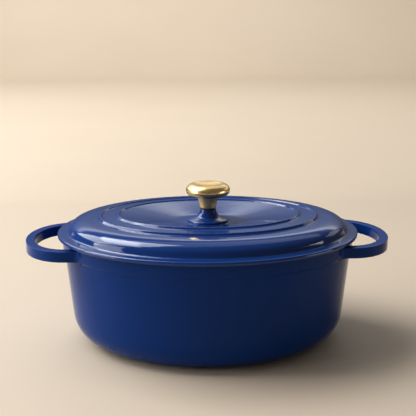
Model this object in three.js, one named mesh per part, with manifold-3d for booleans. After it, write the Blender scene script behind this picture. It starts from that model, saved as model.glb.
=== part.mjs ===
// Oval enamelled cast-iron dutch oven: pot with two loop handles, domed lid and brass knob.
// Millimetres, +Z up, +X along the long axis. The origin is on the table, under the middle of the pot.
import * as THREE from 'three';
import { mergeVertices } from 'three/addons/utils/BufferGeometryUtils.js';
import Module from 'manifold-3d';

const wasm = await Module();
wasm.setup();

// ---- Driving dimensions ------------------------------------------------------------------------
// An oval is given by its long half-axis. Its short half-axis is smaller by a stretch.
const OVAL_STRETCH = 28.9; // long minus short half-axis, at the mouth and on the lid
const BASE_STRETCH = 20; // the same at the foot, because the long sides have less draft
const OVAL_SEGMENTS = 64;
const ROUND_SEGMENTS = 32;
const GAP = 0.3; // clearance between pieces that touch

// Pot casting
const RIM_TOP = 106.2; // height of the rim that carries the lid
const BAND_HALF = 145.1; // long half-axis of the raised band below the mouth
const BAND_BOTTOM = 92.6;
const BAND_PROUD = 1.6; // how far the band stands out from the wall
const WALL_DRAFT = 0.105; // the end walls lean in by this much for each mm down
const WALL_THICK = 4.2;
const RIM_THICK = 5.6;
const BOTTOM_THICK = 4.8;
const BOTTOM_ROUND = 30.5; // outside radius where the wall turns into the bottom
const FOOT_RING = 9; // width of the flat ring that the pot stands on
const FOOT_RECESS = 0.8; // how far the bottom is hollowed inside the foot ring
const POT_FADE = 90; // inside this long half-axis the ovals shrink in proportion

// Loop handles, one casting with the pot
const HANDLE_TOP = 103.6;
const HANDLE_HEIGHT = 10.2;
const HANDLE_REACH = 181.4; // middle of the pot to the outside of the loop
const HANDLE_HALF_SPAN = 57.6; // half the width of the loop across the end of the pot
const END_BAR = 7.9; // width of the bar at the end of the loop, seen from above
const ARM_BAR = 9.7; // width of the two arms
const ARM_ROOT = 112; // where the arms start, inside the wall
const HOLE_ROOT = 120; // where the finger hole starts, also inside the wall
const LOOP_START = 136.5; // where the arms begin to curve round
const LOOP_POWER = 2.08; // squareness of the loop, 2 is an ellipse
const HANDLE_EDGE = 2; // bevel on the bar's edges

// Lid casting
const LID_HALF = 150; // long half-axis of the lid's edge
const FLANGE_THICK = 4;
const DOME_BASE = 139.4; // long half-axis of the dome's foot on the flange
const DOME_CORNER = 137.2;
const DOME_RISE = 8.9; // height of the dome's corner above the flange
const OUTER_RING = 108; // long half-axis of the outer raised ring
const INNER_RING = 90.3;
const RING_WIDTH = 5.2;
const RING_PROUD = 1.1;
const OUTER_TERRACE = 13.3; // height above the flange just outside the outer ring
const INNER_TERRACE = 15.5; // height above the flange inside the inner ring
const DISH_HALF = 34; // long half-axis of the flat middle of the lid
const DISH_DEPTH = 7.3; // how far the flat middle lies below the inner terrace
const LID_THICK = 4.1;
const LOCATOR_DROP = 4; // lip under the lid that sits inside the mouth
const LOCATOR_THICK = 4;
const LID_FADE = 88; // inside this long half-axis the ovals shrink in proportion

// Boss and knob, turned about the middle of the lid
const BOSS_HEIGHT = 12.1;
const BOSS_FOOT = 20.6; // radius of the boss's skirt
const BOSS_WAIST = 9;
const BOSS_TOP = 8.1;
const SKIRT_EDGE = 1.9; // upright edge of the skirt
const SKIRT_CROWN = 2; // how far the skirt rises from its edge to the boss
const SCREW_HOLE = 3.3;
const GASKET_THICK = 0.6;
const STEM_HEIGHT = 11.6;
const STEM_FOOT = 8;
const STEM_WAIST = 9.1;
const STEM_HEAD = 11.4;
const SPIGOT_RADIUS = 6; // peg on the stem that the cap is pressed onto
const SPIGOT_HEIGHT = 4;
const CAP_RADIUS = 22;
const CAP_HEIGHT = 12.3;
const CAP_DISH_RADIUS = 14.6;
const CAP_DISH_DEPTH = 1.9;

// Fastening inside the knob and under the lid
const SCREW_RADIUS = 2.9;
const SCREW_HEAD_RADIUS = 5.4;
const SCREW_HEAD_HEIGHT = 3.9;
const INSERT_RADIUS = 4.4;
const INSERT_LENGTH = 9;
const INSERT_TEETH = 20;
const INSERT_TOOTH = 0.25;
const WASHER_RADIUS = 8;
const WASHER_THICK = 1.2;
const SPRING_WASHER_RADIUS = 5.3;
const SPRING_WASHER_THICK = 1.5;

// ---- Heights that follow from them -------------------------------------------------------------
const FLANGE_BOTTOM = RIM_TOP + GAP;
const FLANGE_TOP = FLANGE_BOTTOM + FLANGE_THICK;
const DISH_TOP = FLANGE_TOP + INNER_TERRACE - DISH_DEPTH;
const LID_CEILING = DISH_TOP - LID_THICK;
const BOSS_FACE = DISH_TOP + BOSS_HEIGHT;
const GASKET_TOP = BOSS_FACE + GAP + GASKET_THICK;
const STEM_BOTTOM = GASKET_TOP + GAP;
const STEM_TOP = STEM_BOTTOM + STEM_HEIGHT;
const CAP_BOTTOM = STEM_TOP + GAP;

// ---- Finishes ----------------------------------------------------------------------------------
const FINISHES = {
  blueEnamel: { color: 0x14388a, roughness: 0.12, metalness: 0 },
  brass: { color: 0xc9a25a, roughness: 0.2, metalness: 1 },
  steel: { color: 0xa8abae, roughness: 0.35, metalness: 1 },
  blackRubber: { color: 0x15151a, roughness: 0.7, metalness: 0 },
};

// ---- Helpers -----------------------------------------------------------------------------------

/** A profile of [radius, height, rounding] corners, with each rounded corner as an arc. */
function profile(corners, steps = 3) {
  const points = [];
  corners.forEach(([x, y, round], index) => {
    const corner = new THREE.Vector2(x, y);
    if (!round) {
      points.push(corner);
      return;
    }
    const before = new THREE.Vector2(...corners[index - 1].slice(0, 2)).sub(corner).normalize();
    const after = new THREE.Vector2(...corners[index + 1].slice(0, 2)).sub(corner).normalize();
    const half = Math.acos(THREE.MathUtils.clamp(before.dot(after), -1, 1)) / 2;
    const start = before.clone().multiplyScalar(round / Math.tan(half));
    const middle = before.clone().add(after).normalize().multiplyScalar(round / Math.sin(half));
    const first = start.clone().sub(middle);
    const turn = (before.cross(after) > 0 ? -1 : 1) * (Math.PI - 2 * half);
    for (let step = 0; step <= steps; step += 1) {
      const spoke = first.clone().rotateAround(new THREE.Vector2(), (turn * step) / steps);
      points.push(corner.clone().add(middle).add(spoke));
    }
  });
  return points;
}

/** A shape turned about the Z axis. The profile runs from low to high on the outside. */
function turned(points, segments = ROUND_SEGMENTS) {
  return new THREE.LatheGeometry(points, segments).rotateX(Math.PI / 2);
}

/** A turned shape drawn in across Y, so that each of its circles becomes an oval. */
function oval(points, stretchAt) {
  const geometry = turned(points, OVAL_SEGMENTS);
  const position = geometry.getAttribute('position');
  for (let index = 0; index < position.count; index += 1) {
    const x = position.getX(index);
    const y = position.getY(index);
    const radius = Math.hypot(x, y);
    const shrink = radius > 0 ? 1 - stretchAt(radius, position.getZ(index)) / radius : 1;
    position.setY(index, y * shrink);
  }
  return geometry;
}

/** A closed solid from a three.js geometry, with its shared corners merged. */
function solid(geometry) {
  const bare = geometry.clone();
  bare.deleteAttribute('normal');
  bare.deleteAttribute('uv');
  const merged = mergeVertices(bare, 1e-4);
  const corners = merged.index.array;
  const triangles = [];
  for (let index = 0; index < corners.length; index += 3) {
    const [a, b, c] = corners.slice(index, index + 3);
    if (a !== b && b !== c && c !== a) triangles.push(a, b, c);
  }
  const vertProperties = new Float32Array(merged.getAttribute('position').array);
  return new wasm.Manifold(
    new wasm.Mesh({ numProp: 3, vertProperties, triVerts: new Uint32Array(triangles) }),
  );
}

/** A named, coloured mesh made from a closed solid. */
function piece(name, body, finish) {
  const { vertProperties, triVerts } = body.getMesh();
  const geometry = new THREE.BufferGeometry();
  geometry.setAttribute('position', new THREE.BufferAttribute(vertProperties, 3));
  geometry.setIndex(new THREE.BufferAttribute(triVerts, 1));
  geometry.computeVertexNormals();
  const mesh = new THREE.Mesh(geometry, new THREE.MeshStandardMaterial(FINISHES[finish]));
  mesh.name = name;
  return mesh;
}

/** A plain round bar on the Z axis between two heights. */
function bar(radius, low, high, segments = ROUND_SEGMENTS) {
  return turned([[0, low], [radius, low], [radius, high], [0, high]].map(
    ([x, y]) => new THREE.Vector2(x, y),
  ), segments);
}

// ---- Pot ---------------------------------------------------------------------------------------

/** How much shorter the pot's short half-axis is, at a radius and a height. */
function potStretch(radius, height) {
  const rise = THREE.MathUtils.clamp(height / BAND_BOTTOM, 0, 1);
  const full = THREE.MathUtils.lerp(BASE_STRETCH, OVAL_STRETCH, rise);
  return full * Math.min(1, radius / POT_FADE);
}

/** Long half-axis of the wall's outside at a height. */
function wallHalf(height) {
  return BAND_HALF - BAND_PROUD - (BAND_BOTTOM - height) * WALL_DRAFT;
}

/** One loop handle's outline, or its finger hole, as the closed curve of an arm and a round end. */
function loopOutline(PathType, root, reach, halfSpan) {
  const path = new PathType();
  const steps = 18;
  path.moveTo(root, -halfSpan);
  for (let step = 0; step <= steps; step += 1) {
    const angle = (Math.PI * step) / steps - Math.PI / 2;
    const along = Math.abs(Math.cos(angle)) ** (2 / LOOP_POWER);
    const across = Math.sign(Math.sin(angle)) * Math.abs(Math.sin(angle)) ** (2 / LOOP_POWER);
    path.lineTo(LOOP_START + (reach - LOOP_START) * along, halfSpan * across);
  }
  path.lineTo(root, halfSpan);
  path.closePath();
  return path;
}

/** The loop at the +X end, run into the wall. */
function handleLoop() {
  const [reach, halfSpan] = [HANDLE_REACH - HANDLE_EDGE, HANDLE_HALF_SPAN - HANDLE_EDGE];
  const shape = loopOutline(THREE.Shape, ARM_ROOT, reach, halfSpan);
  const holeReach = HANDLE_REACH - END_BAR + HANDLE_EDGE;
  const holeHalfSpan = HANDLE_HALF_SPAN - ARM_BAR + HANDLE_EDGE;
  shape.holes.push(loopOutline(THREE.Path, HOLE_ROOT, holeReach, holeHalfSpan));
  const geometry = new THREE.ExtrudeGeometry(shape, {
    depth: HANDLE_HEIGHT - 2 * HANDLE_EDGE,
    bevelThickness: HANDLE_EDGE,
    bevelSize: HANDLE_EDGE,
    bevelSegments: 2,
    steps: 1,
  });
  return geometry.translate(0, 0, HANDLE_TOP - HANDLE_HEIGHT + HANDLE_EDGE);
}

/** Pot casting: outside with band and handles, less the inside. */
function potCasting() {
  const footHalf = wallHalf(0);
  const outside = profile([
    [0, FOOT_RECESS],
    [footHalf - BOTTOM_ROUND - FOOT_RING, FOOT_RECESS],
    [footHalf - BOTTOM_ROUND - FOOT_RING + FOOT_RECESS, 0],
    [footHalf, 0, BOTTOM_ROUND],
    [wallHalf(BAND_BOTTOM), BAND_BOTTOM],
    [BAND_HALF, BAND_BOTTOM + BAND_PROUD],
    [BAND_HALF, RIM_TOP, 1],
    [0, RIM_TOP],
  ], 6);
  const inside = profile([
    [0, BOTTOM_THICK + FOOT_RECESS],
    [footHalf - WALL_THICK, BOTTOM_THICK + FOOT_RECESS, BOTTOM_ROUND - WALL_THICK],
    [wallHalf(BAND_BOTTOM) - WALL_THICK, BAND_BOTTOM],
    [BAND_HALF - RIM_THICK, RIM_TOP],
    [BAND_HALF - RIM_THICK, RIM_TOP + 1],
    [0, RIM_TOP + 1],
  ], 6);
  const loop = handleLoop();
  let casting = solid(oval(outside, potStretch));
  casting = casting.add(solid(loop)).add(solid(loop.clone().rotateZ(Math.PI)));
  return piece('pot_casting', casting.subtract(solid(oval(inside, potStretch))), 'blueEnamel');
}

// ---- Lid ---------------------------------------------------------------------------------------

/** How much shorter the lid's short half-axis is, at a radius. */
function lidStretch(radius) {
  return OVAL_STRETCH * Math.min(1, radius / LID_FADE);
}

/** Corners of a low raised ring, from its inner to its outer edge. */
function raisedRing(middle, inside, outside) {
  const half = RING_WIDTH / 2;
  const crest = inside + RING_PROUD;
  return [
    [middle - half, inside],
    [middle - half / 2, crest],
    [middle + half / 4, crest],
    [middle + half, outside],
  ];
}

/** The boss in the middle of the lid, with its round skirt. */
function boss() {
  const skirtTop = DISH_TOP + SKIRT_EDGE;
  return turned(profile([
    [0, LID_CEILING + LID_THICK / 2],
    [BOSS_FOOT, LID_CEILING + LID_THICK / 2],
    [BOSS_FOOT, skirtTop, 1.4],
    [BOSS_WAIST + 2.6, skirtTop + SKIRT_CROWN, 3],
    [BOSS_WAIST, BOSS_FACE - 3.5, 8],
    [BOSS_TOP, BOSS_FACE],
    [0, BOSS_FACE],
  ]));
}

/** Lid casting: flange, dome with two raised rings, dished middle, boss and locating lip. */
function lidCasting() {
  const outerTerrace = FLANGE_TOP + OUTER_TERRACE;
  const innerTerrace = FLANGE_TOP + INNER_TERRACE;
  const betweenRings = (outerTerrace + innerTerrace) / 2;
  const locatorHalf = BAND_HALF - RIM_THICK - 2 * GAP;
  const outline = [
    [0, LID_CEILING],
    [DISH_HALF, LID_CEILING],
    [INNER_RING, innerTerrace - LID_THICK],
    [OUTER_RING, betweenRings - LID_THICK],
    [DOME_CORNER - LID_THICK, FLANGE_TOP + DOME_RISE - LID_THICK, 4],
    [locatorHalf - LOCATOR_THICK, FLANGE_BOTTOM - LOCATOR_DROP],
    [locatorHalf - 1, FLANGE_BOTTOM - LOCATOR_DROP],
    [locatorHalf, FLANGE_BOTTOM - LOCATOR_DROP + 1],
    [locatorHalf, FLANGE_BOTTOM],
    [LID_HALF, FLANGE_BOTTOM, 1.2],
    [LID_HALF, FLANGE_TOP, 1.6],
    [DOME_BASE, FLANGE_TOP, 2.5],
    [DOME_CORNER, FLANGE_TOP + DOME_RISE, 6],
    ...raisedRing(OUTER_RING, betweenRings, outerTerrace).reverse(),
    ...raisedRing(INNER_RING, innerTerrace, betweenRings + 0.4).reverse(),
    [DISH_HALF, DISH_TOP, 40],
    [0, DISH_TOP],
  ];
  let casting = solid(oval(profile(outline), lidStretch)).add(solid(boss()));
  casting = casting.subtract(solid(bar(SCREW_HOLE, LID_CEILING - 1, BOSS_FACE + 1, 24)));
  return piece('lid_casting', casting, 'blueEnamel');
}

// ---- Knob --------------------------------------------------------------------------------------

/** A flat ring on the Z axis. */
function ring(inner, outer, low, high) {
  return solid(bar(outer, low, high)).subtract(solid(bar(inner, low - 1, high + 1, 24)));
}

/** Thin black ring between the boss and the metal of the knob. */
function knobGasket() {
  const body = ring(SCREW_HOLE + 0.3, STEM_FOOT - 0.2, BOSS_FACE + GAP, GASKET_TOP);
  return piece('knob_gasket', body, 'blackRubber');
}

/** Flared stem with a blind bore for the insert and a peg for the cap. */
function knobStem() {
  const bore = INSERT_RADIUS + GAP;
  const boreTop = STEM_BOTTOM + INSERT_LENGTH + 1.5;
  return piece('knob_stem', solid(turned(profile([
    [0, boreTop],
    [bore, boreTop],
    [bore, STEM_BOTTOM],
    [STEM_FOOT, STEM_BOTTOM, 0.4],
    [STEM_WAIST, STEM_BOTTOM + STEM_HEIGHT * 0.55, 16],
    [STEM_HEAD, STEM_TOP],
    [SPIGOT_RADIUS, STEM_TOP],
    [SPIGOT_RADIUS, STEM_TOP + SPIGOT_HEIGHT],
    [0, STEM_TOP + SPIGOT_HEIGHT],
  ]))), 'brass');
}

/** Domed cap with a shallow dish on top and a socket for the stem's peg. */
function knobCap() {
  const socket = SPIGOT_RADIUS + GAP;
  const socketTop = STEM_TOP + SPIGOT_HEIGHT + GAP;
  const top = CAP_BOTTOM + CAP_HEIGHT;
  return piece('knob_cap', solid(turned(profile([
    [0, socketTop],
    [socket, socketTop],
    [socket, CAP_BOTTOM],
    [STEM_HEAD, CAP_BOTTOM],
    [CAP_RADIUS * 0.83, CAP_BOTTOM + CAP_HEIGHT * 0.22, 3],
    [CAP_RADIUS, CAP_BOTTOM + CAP_HEIGHT * 0.45, 2.2],
    [CAP_RADIUS, CAP_BOTTOM + CAP_HEIGHT * 0.65, 2.2],
    [CAP_RADIUS * 0.91, CAP_BOTTOM + CAP_HEIGHT * 0.87, 3],
    [CAP_DISH_RADIUS, top, 2],
    [CAP_DISH_RADIUS * 0.7, top - CAP_DISH_DEPTH * 0.7, 12],
    [0, top - CAP_DISH_DEPTH],
  ]))), 'brass');
}

/** Knurled threaded insert inside the stem. */
function knobInsert() {
  const shape = new THREE.Shape();
  for (let tooth = 0; tooth < 2 * INSERT_TEETH; tooth += 1) {
    const angle = (Math.PI * tooth) / INSERT_TEETH;
    const radius = INSERT_RADIUS - (tooth % 2) * INSERT_TOOTH;
    const [x, y] = [radius * Math.cos(angle), radius * Math.sin(angle)];
    if (tooth === 0) shape.moveTo(x, y);
    else shape.lineTo(x, y);
  }
  shape.closePath();
  const low = STEM_BOTTOM + 0.5;
  const geometry = new THREE.ExtrudeGeometry(shape, { depth: INSERT_LENGTH, bevelEnabled: false });
  const blank = solid(geometry.translate(0, 0, low));
  const hole = bar(SCREW_RADIUS + GAP, low - 1, low + INSERT_LENGTH + 1, 24);
  return piece('knob_insert', blank.subtract(solid(hole)), 'steel');
}

// ---- Fastening under the lid -------------------------------------------------------------------

const WASHER_BOTTOM = LID_CEILING - GAP - WASHER_THICK;
const SPRING_BOTTOM = WASHER_BOTTOM - GAP - SPRING_WASHER_THICK;
const HEAD_TOP = SPRING_BOTTOM - GAP;

/** Flat washer against the lid's underside. */
function flatWasher() {
  const body = ring(SCREW_RADIUS + GAP, WASHER_RADIUS, WASHER_BOTTOM, WASHER_BOTTOM + WASHER_THICK);
  return piece('flat_washer', body, 'steel');
}

/** Split spring washer under the screw head. */
function springWasher() {
  const high = SPRING_BOTTOM + SPRING_WASHER_THICK;
  const split = new THREE.BoxGeometry(SPRING_WASHER_RADIUS, 0.8, 4 * SPRING_WASHER_THICK);
  split.rotateX(0.5);
  split.translate(SPRING_WASHER_RADIUS - 1, 0, SPRING_BOTTOM);
  const body = ring(SCREW_RADIUS + GAP, SPRING_WASHER_RADIUS, SPRING_BOTTOM, high);
  return piece('spring_washer', body.subtract(solid(split)), 'steel');
}

/** Pan-head screw with a cross recess, up through the boss into the insert. */
function knobScrew() {
  const low = HEAD_TOP - SCREW_HEAD_HEIGHT;
  const tip = STEM_BOTTOM + INSERT_LENGTH;
  let body = solid(turned(profile([
    [0, low],
    [SCREW_HEAD_RADIUS - 0.6, low, 1.2],
    [SCREW_HEAD_RADIUS, HEAD_TOP, 0.3],
    [SCREW_RADIUS, HEAD_TOP],
    [SCREW_RADIUS, tip - 0.8],
    [SCREW_RADIUS - 0.8, tip],
    [0, tip],
  ])));
  [0, Math.PI / 2].forEach((angle) => {
    const slot = new THREE.BoxGeometry(SCREW_HEAD_RADIUS, 1.1, 4).rotateZ(angle).translate(0, 0, low);
    body = body.subtract(solid(slot));
  });
  return piece('knob_screw', body, 'steel');
}

// ---- Assembly ----------------------------------------------------------------------------------
const dutchOven = new THREE.Group();
dutchOven.add(potCasting());

const lid = new THREE.Group();
lid.add(lidCasting(), knobGasket(), knobStem(), knobCap(), knobInsert());
lid.add(flatWasher(), springWasher(), knobScrew());
dutchOven.add(lid);

export default dutchOven;
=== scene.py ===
"""Looks of an oval enamelled cast-iron dutch oven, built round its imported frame.

The pot, the lid and the knob are modelled over the frame's own sizes, in metres, with +X along
the pot's long axis. The studio holds the camera, the floor, the lights and a glowing card.
"""

from __future__ import annotations

import logging
import math
from collections.abc import Callable, Iterable, Sequence
from dataclasses import dataclass, field
from enum import Enum
from typing import Any

import bpy
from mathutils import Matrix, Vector


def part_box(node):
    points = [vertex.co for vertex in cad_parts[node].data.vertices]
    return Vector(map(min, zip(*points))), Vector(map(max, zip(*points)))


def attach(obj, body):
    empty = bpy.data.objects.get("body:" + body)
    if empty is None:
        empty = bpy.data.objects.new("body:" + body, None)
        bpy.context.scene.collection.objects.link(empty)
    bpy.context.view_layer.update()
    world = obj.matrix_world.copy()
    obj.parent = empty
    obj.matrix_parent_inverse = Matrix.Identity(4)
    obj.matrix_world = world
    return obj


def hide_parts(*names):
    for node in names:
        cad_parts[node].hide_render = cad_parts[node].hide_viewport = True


LOG = logging.getLogger("dutch_oven")
MM = 0.001


class Body(Enum):
    """Moving bodies of the frame."""

    POT = "pot"
    LID = "lid"


class Slot(Enum):
    """Material slots of the frame's record."""

    ENAMEL = "blue_enamel"
    BRASS = "brass"
    STEEL = "steel"
    RUBBER = "black_rubber"


# ---- Shader maths ------------------------------------------------------------------------------


@dataclass(frozen=True)
class Signal:
    """One output socket, with the sums that shader maths needs."""

    shader: "Shader"
    socket: bpy.types.NodeSocket

    def _math(self, operation: str, first: Any, second: Any) -> "Signal":
        """Adds a Math node.

        Args:
            operation: the Math node's operation.
            first: a signal or a number.
            second: a signal or a number.

        Returns:
            The node's result.
        """
        return self.shader.node("ShaderNodeMath", {"operation": operation}, {0: first, 1: second})

    def __add__(self, other: Any) -> "Signal":
        """Adds a signal or a number."""
        return self._math("ADD", self, other)

    def __radd__(self, other: Any) -> "Signal":
        """Adds this signal to a number."""
        return self._math("ADD", other, self)

    def __mul__(self, other: Any) -> "Signal":
        """Multiplies by a signal or a number."""
        return self._math("MULTIPLY", self, other)

    def __rmul__(self, other: Any) -> "Signal":
        """Multiplies a number by this signal."""
        return self._math("MULTIPLY", other, self)


class Shader:
    """A material under construction."""

    def __init__(self, name: str) -> None:
        """Starts a material that holds only its output."""
        self.material = bpy.data.materials.new(name)
        self.material.use_nodes = True
        self.tree = self.material.node_tree
        self.tree.nodes.clear()
        self.output = self.tree.nodes.new("ShaderNodeOutputMaterial")

    def node(
        self,
        kind: str,
        settings: dict[str, Any] | None = None,
        sockets: dict[int | str, Any] | None = None,
        result: int | str = 0,
    ) -> Signal:
        """Adds any node.

        Args:
            kind: the node's type.
            settings: its own properties, set first. "stops" is a colour ramp's list of stops.
            sockets: input sockets by name or index, each a signal or a plain value.
            result: the output socket to return.

        Returns:
            The chosen output.
        """
        made = self.tree.nodes.new(kind)
        for key, value in (settings or {}).items():
            if key == "stops":
                self._set_stops(made.color_ramp, value)
            else:
                setattr(made, key, value)
        for key, value in (sockets or {}).items():
            if isinstance(value, Signal):
                self.tree.links.new(value.socket, made.inputs[key])
            else:
                made.inputs[key].default_value = value
        return Signal(self, made.outputs[result])

    @staticmethod
    def _set_stops(ramp: bpy.types.ColorRamp, stops: Sequence[tuple[float, float]]) -> None:
        """Gives a colour ramp its grey stops.

        Args:
            ramp: the ramp to fill.
            stops: pairs of position and grey value, from low to high.
        """
        while len(ramp.elements) < len(stops):
            ramp.elements.new(1.0)
        for element, (position, grey) in zip(ramp.elements, stops):
            element.position = position
            element.color = (grey, grey, grey, 1.0)

    def place(self) -> Signal:
        """Gives the point on the piece, in metres."""
        return self.node("ShaderNodeTexCoord", result="Object")

    def noise(self, size: float, detail: float = 2.0, roughness: float = 0.5) -> Signal:
        """Adds a noise pattern.

        Args:
            size: rough width of one blotch, in metres.
            detail: how many finer layers it has.
            roughness: how strong the finer layers are.

        Returns:
            A value around one half.
        """
        values = {"Vector": self.place(), "Scale": 1.0 / size}
        values |= {"Detail": detail, "Roughness": roughness}
        return self.node("ShaderNodeTexNoise", sockets=values)

    def blend(self, factor: Any, low: Sequence[float], high: Any) -> Signal:
        """Mixes two colours.

        Args:
            factor: a signal or number, 0 for the low colour.
            low: a colour or signal.
            high: a colour or signal.

        Returns:
            The mixed colour.
        """
        settings = {"data_type": "RGBA", "clamp_factor": True}
        return self.node("ShaderNodeMix", settings, {0: factor, 6: low, 7: high}, result=2)

    def bump(self, height: Signal, depth: float) -> Signal:
        """Turns a height pattern into a normal.

        Args:
            height: the pattern, from 0 to 1.
            depth: its real depth in metres.

        Returns:
            The bumped normal.
        """
        values = {"Height": height, "Distance": depth, "Strength": 1.0}
        return self.node("ShaderNodeBump", sockets=values)

    def finish(self, sockets: dict[str, Any]) -> bpy.types.Material:
        """Closes the material with one Principled surface.

        Args:
            sockets: the surface's sockets by name.

        Returns:
            The finished material.
        """
        surface = self.node("ShaderNodeBsdfPrincipled", sockets=sockets)
        self.tree.links.new(surface.socket, self.output.inputs["Surface"])
        return self.material


def grey(value: float) -> tuple[float, float, float, float]:
    """Gives a neutral colour."""
    return (value, value, value, 1.0)


# ---- Finishes ----------------------------------------------------------------------------------


@dataclass(frozen=True)
class Enamel:
    """Glossy vitreous enamel over cast iron, with soft mottling and a faint orange peel."""

    name: str
    deep: tuple[float, float, float, float]
    light: tuple[float, float, float, float]
    speckle: tuple[float, float, float, float]
    gloss: float = 0.05
    ior: float = 1.40
    peel_depth: float = 0.00004
    speckle_share: float = 0.25

    def material(self) -> bpy.types.Material:
        """Builds the enamel's material.

        Returns:
            The finished material.
        """
        shader = Shader(self.name)
        cloud = shader.noise(45 * MM, detail=3.0)
        grain = shader.noise(0.9 * MM, detail=1.0)
        dots = shader.node("ShaderNodeValToRGB", {"stops": [(0.62, 0.0), (0.72, 1.0)]}, {0: grain})
        body = shader.blend(cloud, self.deep, self.light)
        colour = shader.blend(dots * self.speckle_share, body, self.speckle)
        peel = shader.noise(7 * MM, detail=1.5)
        wear = shader.noise(20 * MM, detail=4.0, roughness=0.6)
        return shader.finish(
            {
                "Base Color": colour,
                "Roughness": self.gloss + 0.05 * wear,
                "IOR": self.ior,
                "Normal": shader.bump(peel + 0.05 * grain, self.peel_depth),
            }
        )


@dataclass(frozen=True)
class MattEnamel:
    """Dull black enamel, as on rims that touch other metal."""

    name: str = "matt_black_enamel"
    dark: tuple[float, float, float, float] = grey(0.012)
    worn: tuple[float, float, float, float] = grey(0.035)

    def material(self) -> bpy.types.Material:
        """Builds the matt enamel's material.

        Returns:
            The finished material.
        """
        shader = Shader(self.name)
        grain = shader.noise(0.8 * MM, detail=3.0)
        wear = shader.noise(14 * MM, detail=4.0)
        return shader.finish(
            {
                "Base Color": shader.blend(wear, self.dark, self.worn),
                "Roughness": 0.45 + 0.2 * grain,
                "Normal": shader.bump(grain, 0.00006),
            }
        )


@dataclass(frozen=True)
class TurnedMetal:
    """Metal turned on a lathe, with fine rings round the Z axis."""

    name: str
    colour: tuple[float, float, float, float]
    dull: tuple[float, float, float, float]
    roughness: float
    ring_pitch: float = 0.35 * MM
    ring_depth: float = 0.000004

    def material(self) -> bpy.types.Material:
        """Builds the metal's material.

        Returns:
            The finished material.
        """
        shader = Shader(self.name)
        place = shader.place()
        rings = shader.node(
            "ShaderNodeTexWave",
            {"wave_type": "RINGS", "rings_direction": "Z", "wave_profile": "SIN"},
            {
                "Vector": place,
                "Scale": 1.0 / (20 * self.ring_pitch),
                "Distortion": 0.6,
                "Detail": 2.0,
            },
            result="Fac",
        )
        smudge = shader.noise(9 * MM, detail=4.0, roughness=0.6)
        return shader.finish(
            {
                "Base Color": shader.blend(smudge * 0.6, self.colour, self.dull),
                "Metallic": 1.0,
                "Roughness": self.roughness + 0.08 * smudge + 0.03 * rings,
                "Normal": shader.bump(rings, self.ring_depth),
            }
        )


@dataclass(frozen=True)
class Rubber:
    """Matt black silicone."""

    name: str = "black_silicone"

    def material(self) -> bpy.types.Material:
        """Builds the rubber's material.

        Returns:
            The finished material.
        """
        shader = Shader(self.name)
        grain = shader.noise(0.5 * MM, detail=2.0)
        return shader.finish(
            {
                "Base Color": shader.blend(grain, grey(0.008), grey(0.02)),
                "Roughness": 0.55 + 0.15 * grain,
                "Normal": shader.bump(grain, 0.00003),
            }
        )


@dataclass(frozen=True)
class StudioPaper:
    """Plain pale floor."""

    name: str = "studio_paper"
    pale: tuple[float, float, float, float] = (0.60, 0.485, 0.36, 1.0)
    paler: tuple[float, float, float, float] = (0.64, 0.525, 0.395, 1.0)

    def material(self) -> bpy.types.Material:
        """Builds the floor's material.

        Returns:
            The finished material.
        """
        shader = Shader(self.name)
        cloud = shader.noise(400 * MM, detail=2.0)
        colour = shader.blend(cloud, self.pale, self.paler)
        return shader.finish({"Base Color": colour, "Roughness": 0.6})


BLUE = Enamel(
    "cobalt_enamel",
    deep=(0.0050, 0.033, 0.165, 1.0),
    light=(0.0070, 0.041, 0.195, 1.0),
    speckle=(0.012, 0.060, 0.24, 1.0),
)
# Darker copy of the lid's blue enamel, lower in red and green, for the pot's outside: painted shade
# on the pot's walls.
POT_BLUE_SHADED = Enamel(
    "pot_enamel_shaded_copy",
    deep=(0.0026, 0.028, 0.162, 1.0),
    light=(0.0036, 0.034, 0.186, 1.0),
    speckle=(0.008, 0.050, 0.23, 1.0),
    ior=1.18,
)
CREAM = Enamel(
    "cream_enamel",
    deep=(0.66, 0.58, 0.44, 1.0),
    light=(0.74, 0.67, 0.54, 1.0),
    speckle=(0.50, 0.42, 0.30, 1.0),
    gloss=0.10,
)
BRASS = TurnedMetal("polished_brass", (0.86, 0.60, 0.25, 1.0), (0.76, 0.50, 0.18, 1.0), 0.23)
SATIN = TurnedMetal("satin_brass", (0.86, 0.60, 0.25, 1.0), (0.76, 0.50, 0.18, 1.0), 0.40)
STEEL = TurnedMetal("stainless_steel", (0.60, 0.60, 0.60, 1.0), (0.42, 0.42, 0.43, 1.0), 0.25)


# ---- Modelling ---------------------------------------------------------------------------------


@dataclass(frozen=True)
class Corner:
    """One corner of a profile, in metres."""

    out: float
    up: float
    round: float = 0.0


def rounded(
    corners: Sequence[Corner], steps: int = 8, reach: float = 4 * MM
) -> list[tuple[float, float]]:
    """Turns corners into a profile with true arcs and evenly split straights.

    Args:
        corners: the profile's corners in order.
        steps: straight pieces in each arc.
        reach: longest straight piece between two points.

    Returns:
        Pairs of distance from the axis and height.
    """
    bends: list[Vector] = []
    for index, corner in enumerate(corners):
        here = Vector((corner.out, corner.up))
        if corner.round == 0.0:
            bends.append(here)
            continue
        before = (Vector((corners[index - 1].out, corners[index - 1].up)) - here).normalized()
        after = (Vector((corners[index + 1].out, corners[index + 1].up)) - here).normalized()
        half = before.angle(after) / 2
        centre = here + (before + after).normalized() * (corner.round / math.sin(half))
        first = here + before * (corner.round / math.tan(half)) - centre
        turn = math.copysign(math.pi - 2 * half, -before.cross(after))
        for step in range(steps + 1):
            angle = turn * step / steps
            cos, sin = math.cos(angle), math.sin(angle)
            swung = Vector((first.x * cos - first.y * sin, first.x * sin + first.y * cos))
            bends.append(centre + swung)
    points = [tuple(bends[0])]
    for start, end in zip(bends, bends[1:]):
        pieces = max(1, math.ceil((end - start).length / reach))
        points += [tuple(start.lerp(end, share / pieces)) for share in range(1, pieces + 1)]
    return points


@dataclass(frozen=True)
class Ring:
    """One ring of a loft: its half-lengths along X and Y, and its height."""

    long: float
    short: float
    up: float


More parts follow.
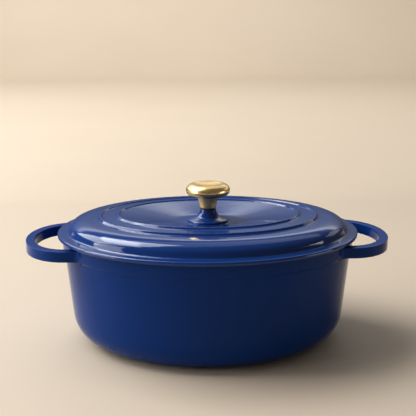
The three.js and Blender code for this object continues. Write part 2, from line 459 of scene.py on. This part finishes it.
def begin() -> None:
    """Leaves edit mode and deselects everything."""
    if bpy.context.object and bpy.context.object.mode != "OBJECT":
        bpy.ops.object.mode_set(mode="OBJECT")
    bpy.ops.object.select_all(action="DESELECT")


def pick(body: bpy.types.Object) -> None:
    """Selects one body alone."""
    begin()
    bpy.context.view_layer.objects.active = body
    body.select_set(True)


def settle() -> None:
    """Moves the selected object's place, turn and size into its mesh."""
    bpy.ops.object.transform_apply(location=True, rotation=True, scale=True)


def pull_through(rings: Sequence[Ring], middle: Vector) -> None:
    """Extrudes the selected ring of edges through the other rings of a loft.

    Args:
        rings: the loft's rings. The selected edges already lie on the first.
        middle: where the rings' middle stands, at height 0.
    """
    for last, ring in zip(rings, rings[1:]):
        lift = (0, 0, ring.up - last.up)
        bpy.ops.mesh.extrude_region_move(TRANSFORM_OT_translate={"value": lift})
        bpy.ops.transform.resize(
            value=(ring.long / last.long, ring.short / last.short, 1.0),
            center_override=middle + Vector((0, 0, ring.up)),
        )


def close_up() -> None:
    """Fills open ends, merges doubles, turns faces outward and leaves edit mode."""
    bpy.ops.mesh.select_all(action="SELECT")
    bpy.ops.mesh.remove_doubles(threshold=0.002 * MM)
    bpy.ops.mesh.select_all(action="DESELECT")
    bpy.ops.mesh.select_non_manifold(
        extend=False, use_wire=False, use_multi_face=False, use_verts=False
    )
    bpy.ops.mesh.edge_face_add()
    bpy.ops.mesh.select_all(action="SELECT")
    bpy.ops.mesh.normals_make_consistent(inside=False)
    bpy.ops.object.mode_set(mode="OBJECT")


def casting(name: str, rings: Sequence[Ring], segments: int) -> bpy.types.Object:
    """Draws a circle out into a closed body through rings that start and end near the axis.

    Args:
        name: the new object's name.
        rings: the body's rings, from one pole to the other.
        segments: faces round the body.

    Returns:
        The closed body.
    """
    begin()
    first = rings[0]
    bpy.ops.mesh.primitive_circle_add(
        vertices=segments, radius=first.long, location=(0, 0, first.up)
    )
    body = bpy.context.object
    body.name = name
    settle()
    bpy.ops.object.mode_set(mode="EDIT")
    bpy.ops.mesh.select_mode(type="VERT")
    bpy.ops.mesh.select_all(action="SELECT")
    bpy.ops.transform.resize(
        value=(1.0, first.short / first.long, 1.0), center_override=(0, 0, first.up)
    )
    pull_through(rings, Vector((0, 0, 0)))
    close_up()
    return body


def combine(body: bpy.types.Object, tool: bpy.types.Object, operation: str) -> None:
    """Joins or cuts one body with another, which is used up.

    Args:
        body: the body that stays.
        tool: the body that is joined or cut away.
        operation: UNION or DIFFERENCE.
    """
    pick(body)
    modifier = body.modifiers.new("combine", "BOOLEAN")
    modifier.operation = operation
    modifier.solver = "EXACT"
    modifier.object = tool
    bpy.ops.object.modifier_apply(modifier=modifier.name)
    bpy.data.objects.remove(tool)


def dress(
    body: bpy.types.Object,
    finishes: Sequence[bpy.types.Material],
    choose: Callable[[Vector, Vector], int] | None = None,
    smooth_angle: float = 40.0,
) -> None:
    """Gives a body its materials and smooth shading.

    Args:
        body: the body to dress.
        finishes: its materials.
        choose: picks a material's index from a face's middle and normal, or None for one finish.
        smooth_angle: edges sharper than this, in degrees, stay sharp.
    """
    body.data.materials.clear()
    for finish in finishes:
        body.data.materials.append(finish)
    if choose:
        for face in body.data.polygons:
            face.material_index = choose(face.center, face.normal)
    pick(body)
    bpy.ops.object.shade_smooth_by_angle(angle=math.radians(smooth_angle))


def stand_for(body: bpy.types.Object, node: str, ride: Body, slot: Slot) -> None:
    """Puts a finished body in the place of a node of the frame.

    Args:
        body: the finished body.
        node: the frame's node that it stands for.
        ride: the moving body that it follows.
        slot: the record's material slot; not used.
    """
    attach(body, ride.value)
    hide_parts(node)
    LOG.info("%s: %d faces, rides on %s", body.name, len(body.data.polygons), ride.value)


# ---- Pot ---------------------------------------------------------------------------------------


@dataclass(frozen=True)
class Station:
    """One section of a swept bar: its middle, the way it faces, its width and its height."""

    place: Vector
    heading: float
    width: float
    tall: float


@dataclass
class Handle:
    """Loop handle at one end of the pot, cast in one with the wall."""

    top: float
    reach: float
    wall_long: float
    wall_short: float
    half_span: float = 57.6 * MM
    height: float = 10.2 * MM
    end_width: float = 7.9 * MM
    arm_width: float = 9.7 * MM
    bend_start: float = 136.5 * MM
    squareness: float = 2.08
    edge: float = 2.1 * MM
    fillet: float = 3.5 * MM
    sink: float = 0.6 * MM
    rooted: float = 2.4 * MM
    turning_run: float = 14 * MM
    fineness: int = 400
    spacing: float = 3.2 * MM

    def loop_line(self) -> list[Vector]:
        """Lays out the first half of the loop's middle line.

        Returns:
            Close points from inside the wall to the loop's outer end.
        """
        reach, span = self.reach - self.end_width / 2, self.half_span - self.arm_width / 2
        middle = self.top - self.height / 2
        line = [Vector((self.bend_start - 30 * MM, -span, middle))]
        for step in range(self.fineness + 1):
            angle = math.pi / 2 * (step / self.fineness - 1)
            along = math.cos(angle) ** (2 / self.squareness)
            sine = max(0.0, -math.sin(angle))
            across = -(sine ** (2 / self.squareness))
            out = self.bend_start + (reach - self.bend_start) * along
            line.append(Vector((out, span * across, middle)))
        return line

    def stations(self) -> list[Station]:
        """Lays out the bar's sections.

        Returns:
            The sections from one root to the other.
        """
        line = self.loop_line()
        lengths = [0.0]
        for start, end in zip(line, line[1:]):
            lengths.append(lengths[-1] + (end - start).length)
        walk = self._walk(line, lengths, 0.1 * MM)
        root, begins = next((place, length) for place, length in walk if self._clear(place) >= 0)
        wall_heading = math.atan2(root.y / self.wall_short**2, root.x / self.wall_long**2)
        eased = [0.0, 0.12, 0.3, 0.6, 1.1, 1.8, 2.7]
        offsets = [-self.rooted] + [value * MM - self.sink for value in eased] + [self.fillet]
        count = round((lengths[-1] - begins - self.fillet) / self.spacing)
        step = (lengths[-1] - begins - self.fillet) / count
        offsets += [self.fillet + step * index for index in range(1, count + 1)]
        half: list[Station] = []
        for offset in offsets:
            place, path_heading = self._at(line, lengths, begins + offset)
            turned = min(1.0, max(0.0, offset / self.turning_run))
            turned = turned * turned * (3 - 2 * turned)
            heading = wall_heading + (path_heading - wall_heading) * turned
            inward = 1.0 - min(1.0, max(0.0, (offset + self.sink) / (self.fillet + self.sink)))
            growth = self.fillet * (1.0 - math.sqrt(1.0 - inward**2))
            share = (place.x - self.bend_start) / (self.reach - self.bend_start)
            bar = self.arm_width + (self.end_width - self.arm_width) * max(0.0, share) ** 3
            width = (bar + 2 * growth) / math.cos(path_heading - heading)
            half.append(Station(place, heading, width, self.height + 0.5 * growth))
        mirrored = [
            Station(
                Vector((near.place.x, -near.place.y, near.place.z)),
                math.pi - near.heading,
                near.width,
                near.tall,
            )
            for near in reversed(half[:-1])
        ]
        return half + mirrored

    def _clear(self, place: Vector) -> float:
        """Measures from the wall's oval to a point, along X.

        Args:
            place: the point.

        Returns:
            The distance, below zero inside the wall.
        """
        across = min(1.0, abs(place.y) / self.wall_short)
        return place.x - self.wall_long * math.sqrt(1.0 - across**2)

    def _walk(
        self, line: Sequence[Vector], lengths: Sequence[float], step: float
    ) -> Iterable[tuple[Vector, float]]:
        """Walks along the line.

        Args:
            line: the line's points.
            lengths: the length along the line at each point.
            step: length of one step.

        Yields:
            The place and the length walked.
        """
        for index in range(int(lengths[-1] / step)):
            yield self._at(line, lengths, index * step)[0], index * step

    @staticmethod
    def _at(
        line: Sequence[Vector], lengths: Sequence[float], length: float
    ) -> tuple[Vector, float]:
        """Finds a place on the line.

        Args:
            line: the line's points.
            lengths: the length along the line at each point.
            length: how far along the line to go.

        Returns:
            The place and the line's heading there.
        """
        index = 0
        while index < len(line) - 2 and lengths[index + 1] < length:
            index += 1
        share = (length - lengths[index]) / (lengths[index + 1] - lengths[index])
        along = line[index + 1] - line[index]
        if share >= 1.0 - 1e-6 and index == len(line) - 2:
            return line[-1].copy(), math.pi / 2
        return line[index] + along * share, math.atan2(along.y, along.x)

    def build(self) -> bpy.types.Object:
        """Sweeps the bar along the loop.

        Returns:
            The handle at the +X end, with its roots inside the wall.
        """
        stations = self.stations()
        last = stations[0]
        begin()
        upright = (0, math.pi / 2, 0)
        bpy.ops.mesh.primitive_plane_add(size=1.0, location=last.place, rotation=upright)
        loop = bpy.context.object
        loop.name = "handle"
        settle()
        bpy.ops.object.mode_set(mode="EDIT")
        bpy.ops.mesh.select_all(action="SELECT")
        bpy.ops.transform.resize(value=(1.0, last.width, last.tall), center_override=last.place)
        bpy.ops.transform.rotate(value=-last.heading, orient_axis="Z", center_override=last.place)
        for station in stations[1:]:
            here = station.place
            growth = (1.0, station.width / last.width, station.tall / last.tall)
            bpy.ops.mesh.extrude_region_move(TRANSFORM_OT_translate={"value": here - last.place})
            bpy.ops.transform.rotate(value=last.heading, orient_axis="Z", center_override=here)
            bpy.ops.transform.resize(value=growth, center_override=here)
            bpy.ops.transform.rotate(value=-station.heading, orient_axis="Z", center_override=here)
            last = station
        bpy.ops.mesh.select_all(action="SELECT")
        bpy.ops.mesh.normals_make_consistent(inside=False)
        bpy.ops.object.mode_set(mode="OBJECT")
        self._ease_edges(loop)
        return loop

    def _ease_edges(self, loop: bpy.types.Object) -> None:
        """Rounds the bar's long edges.

        Args:
            loop: the swept bar.
        """
        pick(loop)
        bevel = loop.modifiers.new("edges", "BEVEL")
        bevel.width = self.edge
        bevel.segments = 5
        bevel.limit_method = "ANGLE"
        bevel.angle_limit = math.radians(50)
        bpy.ops.object.modifier_apply(modifier=bevel.name)


@dataclass
class Pot:
    """Pot casting: oval body with a raised band at its mouth and two loop handles."""

    high: Vector = field(default_factory=lambda: Vector(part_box("pot_casting")[1]))
    stretch: float = 28.9 * MM
    base_stretch: float = 20 * MM
    fade: float = 90 * MM
    band_half: float = 145.1 * MM
    band_bottom: float = 92.6 * MM
    band_proud: float = 1.6 * MM
    draft: float = 0.105
    wall: float = 4.2 * MM
    rim: float = 5.6 * MM
    bottom: float = 4.8 * MM
    bottom_round: float = 30.5 * MM
    foot_ring: float = 9 * MM
    foot_recess: float = 0.8 * MM
    pole: float = 8 * MM
    handle_top: float = 103.6 * MM
    reach_ease: float = 0.3 * MM
    segments: int = 256

    def wall_half(self, up: float) -> float:
        """Gives the wall's long half-axis at a height."""
        return self.band_half - self.band_proud - (self.band_bottom - up) * self.draft

    def ring(self, out: float, up: float) -> Ring:
        """Draws a point of the profile out into an oval ring.

        Args:
            out: the ring's long half-axis.
            up: the ring's height.

        Returns:
            The ring, rounder towards the foot and towards the axis.
        """
        rise = min(1.0, max(0.0, up / self.band_bottom))
        stretch = self.base_stretch + (self.stretch - self.base_stretch) * rise
        return Ring(out, out - stretch * min(1.0, out / self.fade), up)

    def outside(self) -> list[Corner]:
        """Lists the corners of the pot's outside.

        Returns:
            The corners from the foot up to the rim's outer edge.
        """
        foot = self.wall_half(0.0)
        ring_in = foot - self.bottom_round - self.foot_ring
        band = self.band_half
        return [
            Corner(self.pole, self.foot_recess),
            Corner(ring_in, self.foot_recess, 1.5 * MM),
            Corner(ring_in + self.foot_recess, 0.0, 0.8 * MM),
            Corner(foot, 0.0, self.bottom_round),
            Corner(self.wall_half(self.band_bottom), self.band_bottom, 1.2 * MM),
            Corner(band, self.band_bottom + self.band_proud, 1.0 * MM),
            Corner(band, self.high.z, 1.2 * MM),
        ]

    def inside(self) -> list[Corner]:
        """Lists the corners of the pot's hollow.

        Returns:
            The corners from the rim's inner edge down to the floor.
        """
        floor = self.bottom + self.foot_recess
        return [
            Corner(self.band_half - self.rim, self.high.z, 1.0 * MM),
            Corner(self.wall_half(self.band_bottom) - self.wall, self.band_bottom, 20 * MM),
            Corner(self.wall_half(0.0) - self.wall, floor, self.bottom_round - self.wall),
            Corner(self.pole, floor),
        ]

    def build(self) -> bpy.types.Object:
        """Models the casting.

        Returns:
            The dressed pot.
        """
        body = self._shell()
        self._add_handles(body)
        self._dress(body)
        body.name = "pot_body"
        stand_for(body, "pot_casting", Body.POT, Slot.ENAMEL)
        return body

    def _shell(self) -> bpy.types.Object:
        """Draws the oval body as one closed wall.

        Returns:
            The body, open at the top and without its handles.
        """
        profile = rounded(self.outside() + self.inside(), steps=10, reach=5 * MM)
        rings = [self.ring(out, up) for out, up in profile]
        return casting("pot_body", rings, self.segments)

    def _add_handles(self, body: bpy.types.Object) -> None:
        """Joins both loop handles to the wall.

        Args:
            body: the oval body.
        """
        right = Handle(
            top=self.handle_top,
            reach=self.high.x - self.reach_ease,
            wall_long=self.band_half,
            wall_short=self.band_half - self.stretch,
        ).build()
        pick(right)
        bpy.ops.object.duplicate()
        left = bpy.context.object
        bpy.ops.transform.rotate(value=math.pi, orient_axis="Z", center_override=(0, 0, 0))
        settle()
        combine(body, right, "UNION")
        combine(body, left, "UNION")

    def _dress(self, body: bpy.types.Object) -> None:
        """Gives the outside, the inside and the rim their enamels.

        Args:
            body: the finished casting.
        """
        rim_top = self.high.z

        def finish_at(middle: Vector, normal: Vector) -> int:
            """Picks blue outside, cream inside and matt black on the rim's top.

            Args:
                middle: the face's middle.
                normal: the face's normal.

            Returns:
                The finish's index.
            """
            long = self.wall_half(middle.z) - self.wall * 0.5
            short = long - self.ring(long, middle.z).long + self.ring(long, middle.z).short
            within = (middle.x / long) ** 2 + (middle.y / short) ** 2 < 1.0
            if middle.z > rim_top - 0.5 * MM:
                return 2
            floor_side = middle.z < self.bottom_round and normal.z < 0.0
            return 1 if within and not floor_side and middle.z > self.bottom * 0.9 else 0

        # The pot's outside takes the darker copy of the blue enamel, which is painted shade.
        dress(body, [POT_BLUE_SHADED.material(), CREAM.material(), MattEnamel().material()], finish_at)


# ---- Lid ---------------------------------------------------------------------------------------


@dataclass
class Lid:
    """Lid casting: flange, dome with two raised rings, dished middle, boss and locating lip."""

    rest: float = 106.5 * MM
    half: float = 150 * MM
    stretch: float = 28.9 * MM
    fade: float = 88 * MM
    flange: float = 4 * MM
    dome_base: float = 139.4 * MM
    dome_corner: float = 138.0 * MM
    dome_rise: float = 9.6 * MM
    shoulder: float = 20 * MM
    outer_ring: float = 108 * MM
    inner_ring: float = 90.3 * MM
    ring_width: float = 5.2 * MM
    ring_proud: float = 1.1 * MM
    outer_terrace: float = 13.3 * MM
    inner_terrace: float = 15.5 * MM
    dish_half: float = 34 * MM
    dish_depth: float = 7.3 * MM
    thick: float = 4.1 * MM
    lip_half: float = 138.9 * MM
    lip_thick: float = 4 * MM
    lip_drop: float = 4 * MM
    boss_height: float = 12.1 * MM
    skirt: float = 20.6 * MM
    skirt_edge: float = 1.9 * MM
    skirt_crown: float = 2.0 * MM
    waist: float = 9.0 * MM
    face: float = 8.1 * MM
    screw_hole: float = 3.3 * MM
    segments: int = 256

    @property
    def flange_top(self) -> float:
        """Gives the height of the flange's top."""
        return self.rest + self.flange

    @property
    def dish_top(self) -> float:
        """Gives the height of the dished middle."""
        return self.flange_top + self.inner_terrace - self.dish_depth

    @property
    def ceiling(self) -> float:
        """Gives the height of the middle's underside."""
        return self.dish_top - self.thick

    def ring(self, out: float, up: float) -> Ring:
        """Draws a point of the profile out into an oval ring."""
        return Ring(out, out - self.stretch * min(1.0, out / self.fade), up)

    def raised_ring(self, middle: float, outside: float, inside: float) -> list[Corner]:
        """Lists the corners of a low raised ring.

        Args:
            middle: long half-axis of the ring's middle.
            outside: height of the terrace outside it.
            inside: height of the terrace inside it.

        Returns:
            The corners from the ring's outer to its inner edge.
        """
        half = self.ring_width / 2
        crest = inside + self.ring_proud
        return [
            Corner(middle + half, outside, 0.9 * MM),
            Corner(middle + half / 3, crest, 1.0 * MM),
            Corner(middle - half / 2, crest, 1.0 * MM),
            Corner(middle - half, inside, 0.9 * MM),
        ]

    def top(self) -> list[Corner]:
        """Lists the corners of the lid's upper side.

        Returns:
            The corners from the flange in to the boss.
        """
        base = self.flange_top
        outer, inner = base + self.outer_terrace, base + self.inner_terrace
        between = (outer + inner) / 2
        return [
            Corner(self.half, self.rest, 1.2 * MM),
            Corner(self.half, base, 1.7 * MM),
            Corner(self.dome_base, base, 2.2 * MM),
            *self._shoulder(base),
            *self.raised_ring(self.outer_ring, outer, between),
            *self.raised_ring(self.inner_ring, between + 0.4 * MM, inner),
            Corner(self.dish_half, self.dish_top, 60 * MM),
            Corner(self.screw_hole * 0.6, self.dish_top),
        ]

    def _shoulder(self, base: float) -> list[Corner]:
        """Rounds the dome's shoulder as one oval arc.

        Args:
            base: height of the flange's top.

        Returns:
            The arc's points from the dome's side in to its terrace.
        """
        reach, rise = self.shoulder, self.dome_rise
        middle, foot = self.dome_corner - reach, base + self.outer_terrace - 0.4 * MM - rise
        angles = [math.radians(angle) for angle in range(4, 91, 6)]
        return [Corner(middle + reach * math.cos(a), foot + rise * math.sin(a)) for a in angles]

    def underside(self) -> list[Corner]:
        """Lists the corners of the lid's underside.

        Returns:
            The corners from its middle out to the flange.
        """
        base = self.flange_top
        return [
            Corner(self.screw_hole * 0.6, self.ceiling),
            Corner(self.dish_half, self.ceiling, 60 * MM),
            Corner(self.inner_ring, base + self.inner_terrace - self.thick, 20 * MM),
            Corner(self.dome_corner - self.thick - 4 * MM, base + 8 * MM - self.thick, 6 * MM),
            Corner(self.lip_half - self.lip_thick, self.rest - self.lip_drop, 0.8 * MM),
            Corner(self.lip_half - 0.5 * MM, self.rest - self.lip_drop, 1.0 * MM),
            Corner(self.lip_half, self.rest, 0.4 * MM),
        ]

    def boss(self) -> list[Corner]:
        """Lists the corners of the boss and its skirt.

        Returns:
            The corners from its foot to its face.
        """
        up = self.dish_top
        face = up + self.boss_height
        return [
            Corner(1.0 * MM, up - self.thick / 2),
            Corner(self.skirt, up - self.thick / 2),
            Corner(self.skirt, up + self.skirt_edge, 1.5 * MM),
            Corner(self.waist + 2.6 * MM, up + self.skirt_edge + self.skirt_crown, 3.2 * MM),
            Corner(self.waist, face - 3.5 * MM, 10 * MM),
            Corner(self.face, face, 0.5 * MM),
            Corner(1.0 * MM, face),
        ]

    def build(self) -> bpy.types.Object:
        """Models the casting.

        Returns:
            The dressed lid.
        """
        profile = rounded(self.underside() + self.top(), steps=8, reach=4 * MM)
        body = casting("lid_shell", [self.ring(out, up) for out, up in profile], self.segments)
        round_profile = rounded(self.boss(), steps=8, reach=2 * MM)
        boss = casting("boss", [Ring(out, out, up) for out, up in round_profile], 128)
        combine(body, boss, "UNION")
        begin()
        middle = (self.ceiling + self.dish_top + self.boss_height) / 2
        bpy.ops.mesh.primitive_cylinder_add(
            vertices=64, radius=self.screw_hole, depth=40 * MM, location=(0, 0, middle)
        )
        drill = bpy.context.object
        settle()
        combine(body, drill, "DIFFERENCE")
        self._dress(body)
        stand_for(body, "lid_casting", Body.LID, Slot.ENAMEL)
        return body

    def _dress(self, body: bpy.types.Object) -> None:
        """Gives the top, the underside and the seat their enamels.

        Args:
            body: the finished casting.
        """

        def finish_at(middle: Vector, normal: Vector) -> int:
            """Picks blue on top, cream underneath and matt black where the lid sits on the rim.

            Args:
                middle: the face's middle.
                normal: the face's normal.

            Returns:
                The finish's index.
            """
            out = math.hypot(middle.x / self.half, middle.y / (self.half - self.stretch))
            seat = middle.z < self.rest + 0.3 * MM and out > 0.90
            if seat and out < 0.985:
                return 2
            if normal.z < -0.15 and out < 0.985:
                return 1
            low_inside = middle.z < self.rest and out < 0.95
            return 1 if low_inside else 0

        dress(body, [BLUE.material(), CREAM.material(), MattEnamel().material()], finish_at)


# ---- Knob --------------------------------------------------------------------------------------


def turning(
    name: str, corners: Sequence[Corner], segments: int = 96, steps: int = 6
) -> bpy.types.Object:
    """Turns a profile round the Z axis into a closed body.

    Args:
        name: the new object's name.
        corners: the profile, either from pole to pole or, as a closed ring, back to its start.
        segments: faces round the body.
        steps: straight pieces in each rounded corner.

    Returns:
        The closed body.
    """
    profile = rounded(corners, steps=steps, reach=1.5 * MM)
    return casting(name, [Ring(out, out, up) for out, up in profile], segments)


@dataclass
class Knob:
    """Brass knob: flared stem, dished cap, rubber gasket and the threaded insert inside."""

    gasket_box: tuple = field(default_factory=lambda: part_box("knob_gasket"))
    stem_box: tuple = field(default_factory=lambda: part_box("knob_stem"))
    cap_box: tuple = field(default_factory=lambda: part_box("knob_cap"))
    gap: float = 0.3 * MM
    bore: float = 3.6 * MM
    insert_bore: float = 4.7 * MM
    bore_depth: float = 10.5 * MM
    foot: float = 8 * MM
    waist: float = 9.1 * MM
    head: float = 11.4 * MM
    stem_height: float = 11.6 * MM
    peg: float = 6 * MM
    dish: float = 14.6 * MM
    dish_depth: float = 1.9 * MM

    def build(self) -> None:
        """Models and dresses the knob's pieces."""
        brass, satin, rubber = BRASS.material(), SATIN.material(), Rubber().material()
        for body, node, slot, finish in (
            (self._gasket(), "knob_gasket", Slot.RUBBER, rubber),
            (self._stem(), "knob_stem", Slot.BRASS, satin),
            (self._cap(), "knob_cap", Slot.BRASS, brass),
        ):
            dress(body, [finish])
            stand_for(body, node, Body.LID, slot)

    def _gasket(self) -> bpy.types.Object:
        """Models the rubber ring between the boss and the stem.

        Returns:
            The closed ring.
        """
        low, high = self.gasket_box
        return turning(
            "gasket_ring",
            [
                Corner(self.bore, low[2]),
                Corner(high[0], low[2], 0.2 * MM),
                Corner(high[0], high[2], 0.2 * MM),
                Corner(self.bore, high[2]),
                Corner(self.bore, low[2]),
            ],
        )

    def _stem(self) -> bpy.types.Object:
        """Models the flared stem with its blind bore and its peg.

        Returns:
            The closed stem.
        """
        low, high = self.stem_box
        foot, top = low[2], low[2] + self.stem_height
        deep = foot + self.bore_depth
        return turning(
            "stem",
            [
                Corner(0.5 * MM, deep),
                Corner(self.insert_bore, deep),
                Corner(self.insert_bore, foot, 0.2 * MM),
                Corner(self.foot, foot, 0.6 * MM),
                Corner(self.waist, foot + self.stem_height * 0.55, 16 * MM),
                Corner(self.head, top, 0.3 * MM),
                Corner(self.peg, top),
                Corner(self.peg, high[2], 0.5 * MM),
                Corner(0.5 * MM, high[2]),
            ],
        )

    def _cap(self) -> bpy.types.Object:
        """Models the dished cap with the socket for the stem's peg.

        Returns:
            The closed cap.
        """
        low, high = self.cap_box
        foot, top, wide = low[2], high[2], high[0]
        tall = top - foot
        socket = self.peg + self.gap
        roof = self.stem_box[1][2] + self.gap
        return turning(
            "cap",
            [
                Corner(0.5 * MM, roof),
                Corner(socket, roof),
                Corner(socket, foot, 0.3 * MM),
                Corner(self.head, foot),
                *self._cap_side(wide, foot, tall),
                *self._cap_dish(top),
            ],
            segments=128,
            steps=8,
        )

    def _cap_side(self, wide: float, foot: float, tall: float) -> list[Corner]:
        """Rounds the cap's side as one oval arc.

        Args:
            wide: the cap's radius.
            foot: height of the cap's underside.
            tall: the cap's height.

        Returns:
            The arc's points from the underside to the lip of the dish.
        """
        reach, rise = wide - self.dish, tall / 2
        middle = wide - reach
        angles = [math.radians(angle) for angle in range(-84, 91, 6)]
        return [
            Corner(middle + reach * math.cos(angle), foot + rise + rise * math.sin(angle))
            for angle in angles
        ]

    def _cap_dish(self, top: float) -> list[Corner]:
        """Hollows the cap's top as one shallow bowl.

        Args:
            top: height of the dish's lip.

        Returns:
            The bowl's points from just inside the lip in to its middle.
        """
        lip = self.dish - 0.3 * MM
        shares = [0.975, 0.95, 0.91, 0.86, 0.8, 0.7, 0.6, 0.5, 0.4, 0.3, 0.2, 0.1, 0.035]
        return [Corner(lip * share, top - self.dish_depth * (1 - share**2)) for share in shares]


@dataclass
class Fastening:
    """Screw, washers and insert that hold the knob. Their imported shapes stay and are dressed."""

    nodes: tuple[str, ...] = ("knob_insert", "flat_washer", "spring_washer", "knob_screw")

    def build(self) -> None:
        """Dresses the steel pieces."""
        steel = STEEL.material()
        for name in self.nodes:
            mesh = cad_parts[name].data
            mesh.materials.clear()
            mesh.materials.append(steel)
            LOG.info("%s: packed shape kept, steel", name)


# ---- Studio ------------------------------------------------------------------------------------


@dataclass(frozen=True)
class Softbox:
    """One rectangular lamp aimed at the pot."""

    name: str
    place: tuple[float, float, float]
    size: tuple[float, float]
    radiance: float
    colour: tuple[float, float, float] = (0.95, 0.97, 1.0)
    aim: tuple[float, float, float] = (0.0, 0.0, 0.10)
    glossy_only: bool = False

    def build(self) -> None:
        """Hangs the lamp."""
        begin()
        bpy.ops.object.light_add(type="AREA", location=self.place)
        lamp = bpy.context.object
        lamp.name = self.name
        lamp.data.shape = "RECTANGLE"
        lamp.data.size, lamp.data.size_y = self.size
        lamp.data.energy = self.radiance * math.pi * self.size[0] * self.size[1]
        lamp.data.color = self.colour
        toward = Vector(self.aim) - Vector(self.place)
        lamp.visible_camera = False
        lamp.visible_diffuse = not self.glossy_only
        lamp.rotation_euler = toward.to_track_quat("-Z", "Y").to_euler()


@dataclass(frozen=True)
class GlowCard:
    """Upright card behind the pot that only reflections see, brightest at one height."""

    away: float = 0.62
    width: float = 1.3
    tall: float = 0.72
    strength: float = 2.2
    stops: tuple[tuple[float, float], ...] = (
        (0.0, 0.05),
        (0.30, 0.08),
        (0.42, 0.15),
        (0.55, 0.30),
        (0.67, 1.0),
        (0.70, 1.0),
        (0.79, 0.14),
        (1.0, 0.08),
    )

    def build(self) -> None:
        """Hangs the card and gives it its glow."""
        begin()
        bpy.ops.mesh.primitive_plane_add(size=1.0, location=(0, self.away, self.tall / 2))
        card = bpy.context.object
        card.name = "glow_card"
        bpy.ops.transform.resize(value=(self.width, self.tall, 1.0))
        bpy.ops.transform.rotate(value=math.pi / 2, orient_axis="X")
        settle()
        shader = Shader("card_glow")
        up = shader.node("ShaderNodeSeparateXYZ", sockets={0: shader.place()}, result="Z")
        glow = shader.node("ShaderNodeValToRGB", {"stops": self.stops}, {0: up * (1.0 / self.tall)})
        sockets = {"Base Color": grey(0.0), "IOR": 1.0, "Emission Color": glow}
        card.data.materials.append(shader.finish(sockets | {"Emission Strength": self.strength}))
        card.visible_camera = card.visible_diffuse = card.visible_shadow = False


@dataclass
class Studio:
    """Camera, pale floor and soft lights."""

    stand_off: float = 0.850
    eye_height: float = 0.3316
    turn: float = 0.051
    pitch: float = math.radians(13.27)
    lens: float = 75.41
    floor_size: float = 14.0
    backdrop: float = 3.0
    backdrop_height: float = 1.05
    cove: float = 0.5
    cove_steps: int = 12
    lamps: tuple[Softbox, ...] = (
        Softbox("window", (-2.10, 0.82, 2.10), (2.4, 2.6), 7.6),
        Softbox("high_glow", (-1.05, 0.75, 2.20), (1.5, 1.2), 7.6, glossy_only=True),
        Softbox("left_fill", (-2.7, -0.55, 0.92), (1.5, 1.2), 5.2),
        Softbox("left_strip", (-1.4, -0.35, 0.18), (0.8, 0.34), 6.5, glossy_only=True),
        Softbox("right_strip", (1.4, -0.35, 0.18), (0.7, 0.34), 5.0, glossy_only=True),
        Softbox("overhead", (0.1, 1.3, 2.0), (3.0, 1.5), 0.8, aim=(0.0, 1.5, 0.0)),
        Softbox("right_card", (1.7, 1.1, 1.0), (0.9, 0.6), 1.1),
        Softbox("wall_wash", (0.0, 1.9, 1.9), (4.0, 0.6), 4.0, aim=(0.0, 3.4, 0.5)),
    )

    def build(self) -> None:
        """Sets up the studio."""
        self._set_camera()
        self._lay_floor()
        GlowCard().build()
        for lamp in self.lamps:
            lamp.build()
        world = bpy.data.worlds.new("studio")
        world.use_nodes = True
        sky = world.node_tree.nodes["Background"]
        sky.inputs["Color"].default_value = (1.0, 0.95, 0.90, 1.0)
        sky.inputs["Strength"].default_value = 0.13
        bpy.context.scene.world = world
        bpy.context.scene.view_settings.view_transform = "Standard"

    def _set_camera(self) -> None:
        """Places the camera."""
        begin()
        place = Vector(
            (
                -self.stand_off * math.sin(self.turn),
                -self.stand_off * math.cos(self.turn),
                self.eye_height,
            )
        )
        bpy.ops.object.camera_add(
            location=place, rotation=(math.pi / 2 - self.pitch, 0.0, -self.turn)
        )
        camera = bpy.context.object
        camera.name = "camera"
        camera.data.lens = self.lens
        camera.data.sensor_width = 36.0
        bpy.context.scene.camera = camera

    def _lay_floor(self) -> None:
        """Lays the pale floor and sweeps it up into a low backdrop."""
        begin()
        half = self.floor_size / 2
        bpy.ops.mesh.primitive_plane_add(
            size=self.floor_size, location=(0, self.backdrop - half, -0.0002)
        )
        floor = bpy.context.object
        floor.name = "floor"
        settle()
        for edge in floor.data.edges:
            ends = [floor.data.vertices[index].co.y for index in edge.vertices]
            edge.select = min(ends) > self.backdrop - 10 * MM
        for face in floor.data.polygons:
            face.select = False
        for corner in floor.data.vertices:
            corner.select = corner.co.y > self.backdrop - 10 * MM
        bpy.ops.object.mode_set(mode="EDIT")
        bpy.ops.mesh.select_mode(type="EDGE")
        for turn in range(1, self.cove_steps + 1):
            angle = math.pi / 2 * turn / self.cove_steps
            before = math.pi / 2 * (turn - 1) / self.cove_steps
            step = (
                0.0,
                self.cove * (math.sin(angle) - math.sin(before)),
                self.cove * (math.cos(before) - math.cos(angle)),
            )
            bpy.ops.mesh.extrude_region_move(TRANSFORM_OT_translate={"value": step})
        bpy.ops.mesh.extrude_region_move(
            TRANSFORM_OT_translate={"value": (0.0, 0.0, self.backdrop_height - self.cove)}
        )
        bpy.ops.object.mode_set(mode="OBJECT")
        dress(floor, [StudioPaper().material()])


# ---- Assembly ----------------------------------------------------------------------------------


def main() -> None:
    """Builds the dutch oven and its studio."""
    logging.basicConfig(level=logging.INFO, format="%(name)s: %(message)s")
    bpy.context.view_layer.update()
    Studio().build()
    Pot().build()
    Lid().build()
    Knob().build()
    Fastening().build()


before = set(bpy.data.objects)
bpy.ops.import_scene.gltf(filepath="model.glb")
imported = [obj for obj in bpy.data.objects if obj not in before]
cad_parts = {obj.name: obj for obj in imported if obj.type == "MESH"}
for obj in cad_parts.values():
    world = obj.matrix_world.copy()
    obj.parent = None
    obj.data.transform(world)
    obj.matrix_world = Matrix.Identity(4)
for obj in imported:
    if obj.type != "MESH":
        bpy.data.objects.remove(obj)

if __name__ == "__main__":
    main()
